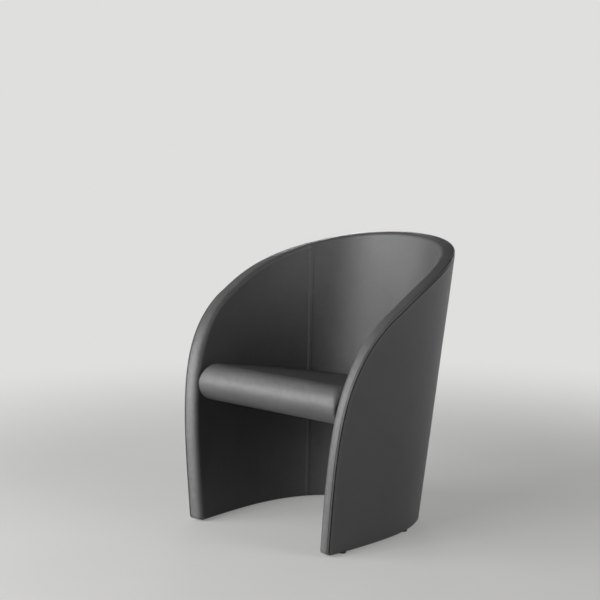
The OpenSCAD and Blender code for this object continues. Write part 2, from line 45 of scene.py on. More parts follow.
# Sizes, in millimetres
CHAIR_H = 780.0
FOOT_W, TOP_W = 540.0, 688.0
FLOOR_REAR, TOP_REAR = 345.0, 463.0
ARM_REACH, ARM_SWEEP = 669.0, 16.5
PLAN_POWER, SWEEP_POWER, RISE_POWER = 2.34, 1.69, 5.9
RIM_SWELL, RIM_SKEW = 0.0358, -0.0245
CORNER_R, RIM_R, TURN_R = 8.0, 19.0, 2.2
BOTTOM_Z, WALL_T, LEATHER_T = 6.5, 42.0, 1.5
OUTER_FOAM_END, INNER_FOAM_START = 5.2, 17.8
RIM_FLAT_START, RIM_POWER, RIM_STEPS = 7.6, 2.8, 22
TOP_RIM_R, TOP_RIM_FROM, TOP_RIM_TO = 10.0, 12.0, 26.0
TOP_FLAT_STEPS, TOP_END_STEPS = 8, 3
WELT_R, WELT_OUT, WELT_DEPTH = 1.8, 0.6, 2.6
WELT_STEP, PUCKER, PUCKER_PITCH = 2.6, 0.045, 6.4
FIRST_BASE = 0.085

FRONT_Y = -ARM_REACH * math.sin(math.radians(ARM_SWEEP))
DEPTH_MID = (TOP_REAR + WELT_OUT + FRONT_Y) / 2

# Rows of depth, distance below the rim and normal, where each leather turns down beside the piped seam
INNER_GROOVE = [(3.1, 6.0, -0.3, -1), (4.6, 5.8, -0.5, -0.9), (5.1, 4.8, -1, 0), (5.2, 2.9, -1, 0),
                (5.4, 1.5, -0.9, -0.4), (5.9, 0.6, -0.7, -0.7), (6.7, 0.12, -0.3, -0.95)]
OUTER_GROOVE = [(1.72, 6.4), (1.4, 5.95), (0.95, 5.8), (0.5, 5.96), (0.18, 6.4), (0.04, 7.0),
                (0, 7.8), (0, 9.0), (0, RIM_R)]

# Rows at those edges that the padding doesn't lift, and rows of the outer leather painted dark as shade
# in the seam's groove
INNER_STILL_ROWS, OUTER_STILL_ROWS, OUTER_SHADED_ROWS = 4, 3, 2

# Values of the wear attribute where the seam's groove is painted dark as shade, and where the leather
# is neither rubbed nor painted dark
GROOVE_SHADE, PLAIN = -1.0, 0.0

# Spacing of the wall's columns on the arms and round the back, height where the back's is measured,
# and height up to which the rim's fine steps are even in z
ARM_STEP, BACK_STEP = 5.2, 5.6
FAR_Z, SPLIT_Z = 560, 640

# Lapped seam of the inner leather: fold line, rows of stitches, height of the lap
FOLD_ANGLE = 37.8
LAP_RISE = 1.1
LAP_AT_WELT = 0.25
STITCH_NEAR, STITCH_FAR = 2.8, 17.0
STITCH_PITCH, STITCH_LENGTH, STITCH_T, STITCH_SINK = 4.2, 3.1, 0.42, 0.1

# Seat, its frame and the cloth below
SEAT_H, SEAT_T, SEAT_FALL = 438.0, 102.0, 10.0
FALL_COS, FALL_SIN = math.cos(math.radians(SEAT_FALL)), math.sin(math.radians(SEAT_FALL))
ROLL_R = SEAT_T / 2
ROLL_Y = FRONT_Y + 81.4
ROLL_Z = SEAT_H - ROLL_R
CROWN_H = 7.0
EDGE_R, TUCK_R, ROLL_END_R = 26.0, 5.0, 20.0
END_R_LOW, END_R_TOP = 6.0, 32.0
END_GAP, END_GAP_RUN = 1.6, 45.0
SEAT_GAP = 0.7
RING_T, RING_W, RING_FRONT_W, RAIL_SEAT = 21.0, 62.0, 70.0, 14.0
HEM_SIDE, HEM_FRONT = 24.0, 40.0
BELT_W, BELT_T, BELT_LAP = 50.0, 2.0, 28.0
BELT_STEPS, BELT_LANES = 90, 9
ROWS_ACROSS, ROWS_LENGTHWISE = 5, 4
CLOTH_SAG, CLOTH_T, CLOTH_FOLD, FOLD_PITCH = 4.0, 0.7, 0.7, 38.0
STAPLE_HALF, STAPLE_WIRE, STAPLE_PITCH = 5.0, 0.45, 38.0
TAPE_INSET, TAPE_STEPS = 2.0, 130
UNDER_H = -ROLL_R
RING_H = UNDER_H + LEATHER_T
BELTS_H = RING_H + RING_T
FOAM_H = BELTS_H + 2 * BELT_T
RING_GAP = SEAT_GAP + LEATHER_T + TUCK_R + 0.2


# Small helpers
def smooth(x, low, high):
    """Smooth step from 0 at low to 1 at high."""
    t = np.clip((np.asarray(x, float) - low) / (high - low), 0, 1)
    return t * t * (3 - 2 * t)


def bump(x, middle, width):
    """Rounded bump of height 1, zero beyond width from its middle."""
    t = np.clip(np.abs(np.asarray(x, float) - middle) / width, 0, 1)
    return (1 - t * t) ** 2


def field(points, size, seed):
    """Soft noise of about -1 to 1 at points in millimetres, with features of the given size."""
    shift = Vector((seed * 7.31, seed * 3.17, seed * 5.53))
    flat = points.reshape(-1, 3) / size
    values = [noise.noise(Vector(p) + shift) for p in flat]
    return np.array(values).reshape(points.shape[:-1]) * 1.6


def unit(v):
    return v / np.maximum(np.linalg.norm(v, axis=-1, keepdims=True), 1e-9)


def waves(points, *terms):
    """Sum of soft noises, each given by its height, size and seed."""
    return sum(height * field(points, size, seed) for height, size, seed in terms)


def run_along(line):
    """Length along a line at each of its points."""
    return np.hstack([[0], np.cumsum(np.linalg.norm(np.diff(line, axis=0), axis=1))])


def at_lengths(line, length, places):
    """Points of a line at some lengths along it."""
    return np.stack([np.interp(places, length, values) for values in line.T], -1)


def add_object(name, data):
    """New object of the scene."""
    item = bpy.data.objects.new(name, data)
    bpy.context.scene.collection.objects.link(item)
    return item


def make_mesh(name, points, faces, material, wear=None):
    """Smooth piece from points in millimetres, with its faces turned outwards.

    wear is 1 where leather is rubbed pale, and -1 where a groove is painted dark as shade.
    """
    mesh = bpy.data.meshes.new(name)
    mesh.from_pydata((np.asarray(points) * MM).tolist(), [], faces)
    mesh.materials.append(material)
    mesh.polygons.foreach_set("use_smooth", [True] * len(mesh.polygons))
    if wear is not None:
        layer = mesh.attributes.new("wear", "FLOAT", "POINT")
        layer.data.foreach_set("value", np.asarray(wear, np.float32).ravel())
    mesh.update()
    work = bmesh.new()
    work.from_mesh(mesh)
    bmesh.ops.recalc_face_normals(work, faces=work.faces)
    work.to_mesh(mesh)
    work.free()
    return add_object(name, mesh)


def loop_faces(rings, count):
    """Quads between rings of count points each."""
    faces = []
    for a in range(0, (rings - 1) * count, count):
        for m in range(count):
            n = (m + 1) % count
            faces.append((a + m, a + n, a + count + n, a + count + m))
    return faces


def rod_faces(rings, count):
    """Quads between rings, and one face over each end."""
    last = (rings - 1) * count
    return loop_faces(rings, count) + [tuple(range(count))[::-1], tuple(last + m for m in range(count))]


def band_faces(rings, count):
    """Quads between flat rings, and a strip of quads over each end."""
    faces = loop_faces(rings, count)
    for first, flip in ((0, False), ((rings - 1) * count, True)):
        for m in range(count // 2 - 1):
            quad = (first + m, first + m + 1, first + count - 2 - m, first + count - 1 - m)
            faces.append(quad[::-1] if flip else quad)
    return faces


def moved(faces, base):
    """The same faces on points that start at base."""
    return [tuple(base + m for m in face) for face in faces]


def closed_form(name, world, material, wear=None):
    """Piece of closed rings, with a fan of triangles over the first ring and the last."""
    rings, count = world.shape[:2]
    faces = loop_faces(rings, count)
    points = np.vstack([world.reshape(-1, 3), world[0].mean(0), world[-1].mean(0)])
    hub = rings * count
    for first, flip in ((0, True), ((rings - 1) * count, False)):
        for m in range(count):
            face = (first + m, first + (m + 1) % count, hub)
            faces.append(face[::-1] if flip else face)
        hub += 1
    if wear is not None:
        wear = np.append(wear, [PLAIN, PLAIN])
    return make_mesh(name, points, faces, material, wear)


# The wall's surface
def half_w(z):
    return (FOOT_W + (TOP_W - FOOT_W) * z / CHAIR_H) / 2


def rear_reach(z):
    return FLOOR_REAR + (TOP_REAR - FLOOR_REAR) * z / CHAIR_H


def power(v, p):
    return np.sign(v) * np.abs(v) ** p


def turned(angle):
    """Cosine and sine of an angle of the plan, and whether it lies in the rear half."""
    a = np.radians(angle)
    return np.cos(a), np.sin(a), np.asarray(angle) > 0


def plan(angle, z):
    """Outer skin in plan: negative angles are the arms, 90 is the middle of the back."""
    c, s, rear = turned(angle)
    x = np.where(rear, half_w(z) * power(c, 2 / PLAN_POWER), half_w(z) * c)
    y = np.where(rear, rear_reach(z) * power(s, 2 / PLAN_POWER), ARM_REACH * s)
    return x, y


def outward(angle, z):
    """Direction in plan that stands square to the outer skin."""
    c, s, rear = turned(angle)
    q = 2 - 2 / PLAN_POWER
    x = np.where(rear, rear_reach(z) * power(c, q), ARM_REACH * c)
    y = np.where(rear, half_w(z) * power(s, q), half_w(z) * s)
    length = np.hypot(x, y)
    return x / length, y / length


def wall_spot(angle, z, depth):
    x, y = plan(angle, z)
    nx, ny = outward(angle, z)
    return np.stack(np.broadcast_arrays(x - depth * nx, y - depth * ny - DEPTH_MID, z + 0 * depth), -1)


def reach_per_degree(angle, z):
    x0, y0 = plan(angle - 1, z)
    x1, y1 = plan(angle + 1, z)
    return np.hypot(x1 - x0, y1 - y0) / 2


def rim(t):
    t = np.radians(t)
    g = np.abs(np.cos(t)) ** (2 / SWEEP_POWER)
    g = g * (1 + RIM_SWELL * np.sin(2 * t) ** 2 + RIM_SKEW * np.sin(4 * t))
    return 90 - (90 + ARM_SWEEP) * g, CHAIR_H * np.sin(t) ** (2 / RISE_POWER)


def rim_angle_at(z):
    return np.degrees(np.arcsin((np.asarray(z) / CHAIR_H) ** (RISE_POWER / 2)))


class Columns:
    """Fine columns of the whole wall, from the right foot over the back to the left foot."""

    def __init__(self):
        corner = np.radians([0, 14, 26, 37, 47, 56, 64, 72, 80])
        corner_t = rim_angle_at(BOTTOM_Z + CORNER_R * (1 - np.cos(corner)))

        low_z = np.linspace(BOTTOM_Z + CORNER_R, SPLIT_Z, 2000)
        fine_t = np.hstack([rim_angle_at(low_z), np.linspace(rim_angle_at(SPLIT_Z + 0.3), 90, 2500)])
        fine_a, fine_z = rim(fine_t)
        along = run_along(wall_spot(fine_a, fine_z, 0))

        fold_along = np.interp(np.interp(FOLD_ANGLE, fine_a, fine_t), fine_t, along)
        arm_along = np.hstack([np.linspace(0, fold_along - 9, int(fold_along / ARM_STEP)),
                               fold_along - np.array([5.0, 3.2, 2.0, 1.2, 0.6, 0.25])])
        arm_t = np.interp(arm_along, along, fine_t)

        far_a = np.linspace(FOLD_ANGLE, 90, 2001)
        reach = run_along(wall_spot(far_a, FAR_Z, 0))
        lap = np.array([0, 0.12, 0.35, 0.7, 1.2, 1.8, 2.3, 2.8, 3.3, 3.9, 4.8, 6.5, 9, 12, 14.5,
                        15.6, 16.3, 17.0, 17.7, 18.4, 19.5, 21.5, 24.5, 28])
        count = int((reach[-1] - lap[-1]) / BACK_STEP)
        lap = np.hstack([lap, np.linspace(lap[-1], reach[-1], count + 1)[1:]])
        back_a = np.interp(lap, reach, far_a)
        back_t = np.interp(back_a, fine_a, fine_t)

        t = np.hstack([corner_t, arm_t, back_t])
        half = len(t)
        self.fold = half - len(back_t)
        lap = np.hstack([np.full(len(corner), -1e3), arm_along - fold_along, lap])
        setback = np.zeros(half)
        setback[:len(corner)] = CORNER_R * (1 - np.sin(corner))
        angle, z = rim(t)
        angle[self.fold:] = back_a
        per = reach_per_degree(angle, z)
        v0 = np.interp(t, fine_t, np.gradient(fine_a, along)) * per
        v1 = np.interp(t, fine_t, np.gradient(fine_z, along))
        length = np.hypot(v0, v1)
        da, dz = v1 / length, -v0 / length
        mix = np.ones(half)
        mix[:len(corner)] = np.sin(corner)
        da, dz = 1 + (da - 1) * mix, dz * mix
        length = np.hypot(da, dz)
        da, dz = da / length, dz / length
        da[-1], dz[-1] = 0.0, -1.0

        share = np.clip((z - BOTTOM_Z) / (z[self.fold] - BOTTOM_Z), 0, 1)
        share = FIRST_BASE + (1 - FIRST_BASE) * share
        base = -ARM_SWEEP + (FOLD_ANGLE + ARM_SWEEP) * share
        base[self.fold:] = angle[self.fold:]

        self.half = half
        order = np.hstack([np.arange(half), np.arange(half - 2, -1, -1)])
        self.count = len(order)
        self.side = np.where(np.arange(self.count) < half, 1.0, -1.0)
        for name, value in (("angle", angle), ("z", z), ("da", da), ("dz", dz), ("per", per),
                            ("back", setback), ("base", base), ("t", t), ("lap", lap)):
            setattr(self, name, value[order])

    def below(self, e):
        """Wall coordinates at distances e below the rim: arrays of columns by rows."""
        run = e + self.back[:, None]
        return (self.angle[:, None] + run * (self.da / self.per)[:, None],
                self.z[:, None] + run * self.dz[:, None])

    def wall_rows(self, q_rows, heights=(0,), shares=(0,)):
        """Wall coordinates on rows down the wall. The last rows stand at set heights above the edge."""
        foot_a, foot_z = self.below(RIM_R)
        foot_z = np.maximum(foot_z, BOTTOM_Z)
        span = foot_z - BOTTOM_Z
        lift = np.minimum(heights, span * np.array(shares))
        ratio = np.where(span > 1e-6, lift / np.maximum(span, 1e-6), shares)
        q = np.hstack([np.tile(q_rows, (self.count, 1)), 1 - ratio])
        return foot_a + (self.base[:, None] - foot_a) * q, foot_z + (BOTTOM_Z - foot_z) * q


# Shares of the way down the wall where its rows stand, and heights above the edge of the last ones
WALL_Q = [0.012, 0.028, 0.048, 0.072, *np.linspace(0.1, 0.88, 35)]
HIDDEN_Q = [0.1, 0.25, 0.4, 0.55, 0.7, 0.84, 0.94]
LOW_HEIGHTS = [46, 26, 14, 8, 4.6, 2.8, 2.0, 1.4, 0.9, 0.45, 0.12, 0]
LOW_SHARES = [0.1, 0.085, 0.07, 0.055, 0.044, 0.035, 0.027, 0.02, 0.013, 0.007, 0.003, 0]


def turned_under(z):
    """How far the leather turns in under the wall near its lower edge."""
    up = np.clip(TURN_R - (z - BOTTOM_Z), 0, TURN_R)
    return TURN_R - np.sqrt(np.maximum(TURN_R ** 2 - up ** 2, 0))


# Materials
class Nodes:
    """A node tree with short calls. A source is a pair of a node and its output's name or number."""

    def __init__(self, holder, output, shader):
        self.holder = holder
        holder.use_nodes = True
        self.tree = holder.node_tree
        self.tree.nodes.clear()
        self.out = self.add(output)
        self.shader = self.add(shader)
        self.coordinates = self.add("TexCoord")
        self.place = (self.coordinates, "Object")

    def add(self, kind, inputs=None, **settings):
        node = self.tree.nodes.new("ShaderNode" + kind)
        for name, value in settings.items():
            setattr(node, name, value)
        for name, value in (inputs or {}).items():
            self.feed(node, name, value)
        return node

    def feed(self, node, name, value):
        """Gives an input its value: a number, a tuple, a colour as a list, or a source to link."""
        if isinstance(value, tuple) and hasattr(value[0], "outputs"):
            self.tree.links.new(value[0].outputs[value[1]], node.inputs[name])
        elif isinstance(value, list):
            node.inputs[name].default_value = (*value, 1)
        else:
            node.inputs[name].default_value = value

    def mapping(self, scale, turn=(0, 0, 0)):
        node = self.add("Mapping", {"Scale": scale, "Rotation": turn, "Vector": self.place})
        return node, "Vector"

    def noise(self, scale, detail, rough, source=None, distortion=0.0):
        node = self.add("TexNoise", {"Scale": scale, "Detail": detail, "Roughness": rough,
                                     "Distortion": distortion, "Vector": source or self.place})
        return node, "Fac"

    def wave(self, direction, scale, distortion, source=None):
        node = self.add("TexWave", {"Scale": scale, "Distortion": distortion,
                                    "Vector": source or self.place},
                        bands_direction=direction)
        return node, "Fac"

    def ramp(self, source, low, high, a, b, curve="LINEAR"):
        """Maps low..high of a value to a..b."""
        node = self.add("MapRange", {"Value": source, "From Min": low, "From Max": high,
                                     "To Min": a, "To Max": b}, interpolation_type=curve)
        return node, "Result"

    def colours(self, source, stops):
        node = self.add("ValToRGB", {"Fac": source})
        elements = node.color_ramp.elements
        while len(elements) < len(stops):
            elements.new(0.5)
        for element, (place, colour) in zip(elements, stops):
            element.position = place
            element.color = (*colour, 1)
        return node, "Color"

    def math(self, operation, a, b):
        return self.add("Math", {0: a, 1: b}, operation=operation), "Value"

    def mix(self, factor, a, b, blend="MIX"):
        node = self.add("Mix", {"Factor": factor}, data_type="RGBA", blend_type=blend)
        self.feed(node, 6, a)
        self.feed(node, 7, b)
        return node, 2

    def multiply(self, a, b):
        return self.mix(1.0, a, b, "MULTIPLY")

    def bump(self, source, strength, distance, previous=None):
        node = self.add("Bump", {"Height": source, "Strength": strength, "Distance": distance})
        if previous:
            self.feed(node, "Normal", previous)
        return node, "Normal"

    def seen(self):
        """1 for rays from the camera, from reflections and from refractions."""
        path = self.add("LightPath")
        seen = self.math("MAXIMUM", (path, "Is Camera Ray"), (path, "Is Glossy Ray"))
        return self.math("MAXIMUM", seen, (path, "Is Transmission Ray"))


class Surface(Nodes):
    """Nodes of a material."""

    def __init__(self, name, **values):
        super().__init__(bpy.data.materials.new(name), "OutputMaterial", "BsdfPrincipled")
        self.feed(self.out, "Surface", (self.shader, "BSDF"))
        for key, value in values.items():
            self.feed(self.shader, key.replace("_", " "), value)

    def done(self, colour, rough, normal=None):
        """Feeds the shader and gives the material."""
        self.feed(self.shader, "Base Color", colour)
        self.feed(self.shader, "Roughness", rough)
        if normal:
            self.feed(self.shader, "Normal", normal)
        return self.holder


def leather(name, tone=1.0, grain=1.0, rough=0.45):
    """Semi-matte corrected leather: fine pebble grain, pores, faint creases, rubbed edges and painted
    shade.
    """
    m = Surface(name, Specular_IOR_Level=0.5, IOR=1.5)
    warp = (m.noise(420, 2, 0.5)[0], "Color")
    offset = m.add("VectorMath", {0: warp, "Scale": 0.0009}, operation="SCALE")
    place = m.add("VectorMath", {0: m.place, 1: (offset, "Vector")}, operation="ADD")
    pebbles = m.add("TexVoronoi", {"Scale": 820, "Vector": (place, "Vector")},
                    feature="DISTANCE_TO_EDGE")
    height = m.ramp((pebbles, "Distance"), 0.0, 0.22, 0.0, 1.0)
    pores = m.noise(3100, 2, 0.6)
    broad = m.noise(9, 3, 0.55)
    mottle = m.noise(70, 4, 0.6)
    creases = m.noise(55, 5, 0.62, m.mapping((1, 1, 0.35)), 0.6)
    plump = m.noise(170, 5, 0.62)
    wear = (m.add("Attribute", attribute_name="wear"), "Fac")

    dark, light, pale = [[c * tone for c in colour] for colour in (
        (0.055, 0.0551, 0.056), (0.064, 0.0639, 0.0646), (0.13, 0.129, 0.128))]
    base = m.colours(broad, [(0.3, dark), (0.7, light)])
    spots = m.colours(mottle, [(0.32, [0.93] * 3), (0.68, [1.06] * 3)])
    # Painted shade: the pebbles' valleys darken the colour to 0.74.
    valley_shade = m.ramp(height, 0.0, 0.5, 0.74, 1.0)
    # Painted shade: where wear is -1, in the seams' grooves, the colour falls to 0.12.
    painted_shade = m.math("MULTIPLY", valley_shade, m.ramp(wear, GROOVE_SHADE, PLAIN, 0.12, 1.0))
    shaded_base = m.multiply(m.multiply(base, spots), painted_shade)
    rubbed = m.math("MULTIPLY", m.math("MULTIPLY", wear, mottle), 0.9)
    matt = m.ramp(mottle, 0.3, 0.7, rough - 0.03, rough + 0.03)

    normal = None
    for source, strength, distance in ((creases, 0.16, 0.0008), (plump, 0.5, 0.0007),
                                       (height, 0.7, 0.00018), (pores, 0.3, 0.00008)):
        normal = m.bump(source, strength * grain, distance, normal)
    return m.done(m.mix(rubbed, shaded_base, pale), m.math("ADD", matt, m.math("MULTIPLY", wear, -0.05)),
                  normal)


def thread_material():
    m = Surface("thread")
    twist = m.wave("DIAGONAL", 900, 1.2)
    colour = m.colours(twist, [(0.2, [0.05, 0.05, 0.052]), (0.8, [0.12, 0.12, 0.122])])
    return m.done(colour, 0.6, m.bump(twist, 0.5, 0.0001))


def wood_material(name, light, dark, along, plies=0.0):
    """Plain wood with its grain along one axis, and glued plies where plies is above zero."""
    m = Surface(name)
    stretch = tuple(2.4 if axis == along else 38.0 for axis in range(3))
    tilt = (math.radians(SEAT_FALL), 0, 0)
    place = m.mapping(stretch, tilt if plies else (0, 0, 0))
    grain = m.noise(1.0, 6, 0.62, place, 0.4)
    streaks = m.noise(5.0, 4, 0.7, place)
    colour = m.colours(grain, [(0.28, dark), (0.5, light), (0.74, [c * 1.06 for c in light])])
    fine = m.colours(streaks, [(0.35, [0.82, 0.8, 0.77]), (0.6, [1, 1, 1])])
    colour = m.multiply(colour, fine)
    if plies:
        layers = m.wave("Z", plies, 0.3, m.mapping((1, 1, 1), tilt))
        lines = m.ramp(layers, 0.3, 0.6, 0.0, 0.45)
        colour = m.mix(lines, colour, [c * 0.55 for c in dark])
    return m.done(colour, m.ramp(streaks, 0.3, 0.7, 0.5, 0.66), m.bump(streaks, 0.25, 0.0003))


def steel_material():
    m = Surface("zinc_steel", Metallic=1.0)
    brushed = m.noise(220, 5, 0.6, m.mapping((1, 1, 0.08)))
    spangle = m.add("TexVoronoi", {"Scale": 260, "Vector": m.place})
    colour = m.colours((spangle, "Distance"), [(0.1, [0.55, 0.56, 0.57]), (0.7, [0.66, 0.67, 0.69])])
    return m.done(colour, m.ramp(brushed, 0.3, 0.7, 0.28, 0.44), m.bump(brushed, 0.15, 0.00005))


def glide_material():
    m = Surface("glide_plastic")
    tone = m.noise(40, 3, 0.5)
    colour = m.colours(tone, [(0.3, [0.018, 0.018, 0.019]), (0.7, [0.03, 0.03, 0.031])])
    grain = m.bump(m.noise(1500, 3, 0.6), 0.3, 0.00008)
    return m.done(colour, m.ramp(tone, 0.3, 0.7, 0.42, 0.58), grain)


def woven_material(name, dark, light, pitch):
    """Plain weave: two crossed waves of threads."""
    m = Surface(name, Sheen_Weight=0.15, Sheen_Roughness=0.5)
    scale = 1 / pitch / 20 * math.pi * 2
    weave = m.math("MULTIPLY", m.wave("X", scale, 0.25), m.wave("Y", scale, 0.25))
    fuzz = m.noise(2600, 3, 0.7)
    tone = m.noise(25, 3, 0.5)
    colour = m.colours(weave, [(0.05, dark), (0.6, light)])
    variety = m.colours(tone, [(0.3, [0.84] * 3), (0.7, [1.08] * 3)])
    threads = m.bump(weave, 0.6, 0.00025)
    return m.done(m.multiply(colour, variety), m.ramp(fuzz, 0.3, 0.7, 0.78, 0.92),
                  m.bump(fuzz, 0.3, 0.00012, threads))


LEATHER = leather("leather")
# The piping's leather is 1.3 times lighter than the rest: a painted highlight for the thin bright line
# along the piping.
WELT_LEATHER = leather("leather_welt", 1.3, 0.5, 0.3)
THREAD = thread_material()
PLY = wood_material("plywood", [0.62, 0.47, 0.30], [0.40, 0.27, 0.15], 2)
RING_PLY = wood_material("plywood_ring", [0.60, 0.45, 0.28], [0.38, 0.25, 0.14], 0, 44)
BEECH = wood_material("beech", [0.58, 0.38, 0.23], [0.36, 0.20, 0.11], 0)
STEEL = steel_material()
GLIDE = glide_material()
STRIP = woven_material("edge_tape", (0.006, 0.006, 0.006), (0.03, 0.03, 0.031), 0.0011)
CLOTH = woven_material("dust_cloth", (0.008, 0.008, 0.009), (0.028, 0.028, 0.03), 0.0014)
WEBBING = woven_material("webbing", (0.05, 0.035, 0.02), (0.21, 0.16, 0.10), 0.0016)


# Shell pieces
columns = Columns()


def lap_height(lap):
    """Rise of the back panel's leather over the lapped seam, by distance past its fold."""
    shoulder = np.sqrt(np.clip(1 - (1 - np.clip(lap / 1.3, 0, 1)) ** 2, 0, 1))
    body = LAP_RISE * shoulder * (1 - smooth(lap, 14.5, 22.0))
    body = body - 0.3 * (1 - shoulder)
    near = 0.55 * bump(lap, STITCH_NEAR, 1.5)
    far = 0.75 * bump(lap, STITCH_FAR, 2.2)
    return np.where(lap < -1e-9, 0, body - near - far)


def under_lap(lap):
    """Dip of the side panel's leather just before the fold."""
    return -0.45 * np.clip(1 + lap / 5.0, 0, 1) ** 2


def inner_rim_profile():
    """Sections of the inner leather round the rim, soft and tight: rows of depth, e and normal."""
    soft, tight = list(INNER_GROOVE), list(INNER_GROOVE)
    span = WALL_T - RIM_FLAT_START
    for turn in np.linspace(0, math.pi / 2, RIM_STEPS):
        out, up = math.sin(turn) ** (2 / RIM_POWER), max(math.cos(turn), 0) ** (2 / RIM_POWER)
        nd, ne = out ** (RIM_POWER - 1) / span, -up ** (RIM_POWER - 1) / RIM_R
        length = math.hypot(nd, ne)
        soft.append((RIM_FLAT_START + span * out, RIM_R * (1 - up), nd / length, ne / length))
    top = span - TOP_RIM_R
    for j in range(TOP_FLAT_STEPS):
        tight.append((RIM_FLAT_START + top * j / TOP_FLAT_STEPS, 0, 0, -1))
    for turn in np.linspace(0, math.pi / 2, RIM_STEPS - TOP_FLAT_STEPS - TOP_END_STEPS):
        tight.append((WALL_T - TOP_RIM_R * (1 - math.sin(turn)), TOP_RIM_R * (1 - math.cos(turn)),
                      math.sin(turn), -math.cos(turn)))
    for e in np.linspace(TOP_RIM_R, RIM_R, TOP_END_STEPS + 1)[1:]:
        tight.append((WALL_T, e, 1, 0))
    return np.array(soft), np.array(tight)


SOFT_RIM, TIGHT_RIM = inner_rim_profile()
TIGHTNESS = smooth(columns.t, TOP_RIM_FROM, TOP_RIM_TO)[:, None, None]
RIM_ROWS = SOFT_RIM + (TIGHT_RIM - SOFT_RIM) * TIGHTNESS
RIM_PLACE = run_along(SOFT_RIM[:, :2])


def inner_surface():
    """Angle, z, depth and wear values of the inner leather's face on all columns, from the seam down.
    """
    depth, e, nd, ne = np.moveaxis(RIM_ROWS, 2, 0)
    angle, z = columns.below(e)
    flat = wall_spot(angle, np.maximum(z, BOTTOM_Z), depth)
    crown = 0.9 * np.sin(np.pi * np.clip(RIM_PLACE / (0.8 * RIM_PLACE[-1]), 0, 1)) ** 1.3
    near_welt = np.exp(-((RIM_PLACE - 4) / 9.0) ** 2)
    ripple = 0.26 * near_welt * waves(flat, (0.6, 13.0, 1), (0.6, 27.0, 2))
    lift = crown + ripple + 0.25 * field(flat, 90.0, 3)
    lift[:, :INNER_STILL_ROWS] = 0
    angle, z = columns.below(e + lift * ne)

    wall_angle, wall_z = columns.wall_rows(WALL_Q, LOW_HEIGHTS, LOW_SHARES)
    flat = wall_spot(wall_angle, wall_z, WALL_T)
    wide = waves(flat, (0.55, 150.0, 4), (0.28, 60.0, 5)) * smooth(wall_z - BOTTOM_Z, 1, 30)
    share = smooth(np.arange(wall_z.shape[1]), 0, 6)
    wall_depth = WALL_T + wide * share + (1 - share) * lift[:, -1:]

    rubbed = np.exp(-((RIM_PLACE - 22) / 12.0) ** 2) * (1 - TIGHTNESS[..., 0])
    # The groove's rows are painted dark as shade.
    rubbed[:, :INNER_STILL_ROWS] = GROOVE_SHADE
    return (np.hstack([angle, wall_angle]),
            np.hstack([np.maximum(z, BOTTOM_Z), wall_z]),
            np.hstack([depth + lift * nd, wall_depth]),
            np.hstack([rubbed, np.full_like(wall_depth, PLAIN)]))


def hidden_face(e, depth):
    """Back of a panel's foam, from the piped seam down to the edge. The last depth goes on down."""
    angle, z = columns.below(np.array(e))
    wall_angle, wall_z = columns.wall_rows(HIDDEN_Q)
    depth = depth + depth[-1:] * wall_z.shape[1]
    return wall_spot(np.hstack([angle, wall_angle]),
                     np.hstack([np.maximum(z, BOTTOM_Z), wall_z]), np.array(depth))


inner_angle, inner_z, inner_depth, inner_wear_and_shade = inner_surface()
inner_hidden = hidden_face([6.9, 9.0, RIM_R - 0.3, RIM_R - 0.3], [2.1, 2.1, 2.3, INNER_FOAM_START])


def lap_directions(take):
    """How far each point of some columns moves inwards and along e for a lap of 1 mm."""
    weight = LAP_AT_WELT + (1 - LAP_AT_WELT) * smooth(RIM_PLACE, 6, RIM_PLACE[-1])
    weight[:INNER_STILL_ROWS] = 0
    rows = RIM_ROWS[take]
    wall = np.ones((len(rows), inner_depth.shape[1] - len(RIM_PLACE)))
    return (np.hstack([rows[..., 2] * weight, wall]),
            np.hstack([rows[..., 3] * weight, 0 * wall]))


def uneven_cap(first, front_count, count, flip):
    """Closes a ring between its front row of points and its coarser back row."""
    front = list(range(first, first + front_count))
    back = list(range(first + count - 1, first + front_count - 1, -1))
    faces = []
    i = j = 0
    while i < len(front) - 1 or j < len(back) - 1:
        front_lags = (i + 1) / len(front) <= (j + 1) / len(back)
        if j == len(back) - 1 or (i < len(front) - 1 and front_lags):
            faces.append((front[i], front[i + 1], back[j]))
            i += 1
        else:
            faces.append((front[i], back[j + 1], back[j]))
            j += 1
    return [f[::-1] for f in faces] if flip else faces


def leather_panel(name, face, back, side, wear):
    """Leather with its foam, closed all round: columns by rows of the face and of the coarser back."""
    ring = np.hstack([face, back[:, ::-1]])
    ring[..., 0] *= side[:, None]
    wear = np.hstack([wear, np.full(back.shape[:2], PLAIN)])
    # The back's first row, at the seam, is painted dark as shade as well.
    wear[:, -1] = GROOVE_SHADE
    count = ring.shape[1]
    faces = loop_faces(len(ring), count)
    faces += uneven_cap(0, face.shape[1], count, False)
    faces += uneven_cap((len(ring) - 1) * count, face.shape[1], count, True)
    return make_mesh(name, ring.reshape(-1, 3), faces, LEATHER, wear)


def inner_panel(name, first, last, lapped):
    """One panel of the inner leather."""
    take = slice(first, last + 1)
    lap = columns.lap[take]
    rise = (lap_height(lap) if lapped else under_lap(lap))[:, None]
    nd, ne = lap_directions(take)
    angle = inner_angle[take] + rise * ne * (columns.da / columns.per)[take][:, None]
    z = np.maximum(inner_z[take] + rise * ne * columns.dz[take][:, None], BOTTOM_Z)
    face = wall_spot(angle, z, inner_depth[take] + rise * nd - turned_under(z))
    return leather_panel(name, face, inner_hidden[take], columns.side[take], inner_wear_and_shade[take])


FOLD = columns.fold
LAST = columns.count - 1
inner_right = inner_panel("inner_panel_right", 0, FOLD, False)
inner_back = inner_panel("inner_panel_back", FOLD, LAST - FOLD, True)
inner_left = inner_panel("inner_panel_left", LAST - FOLD, LAST, False)


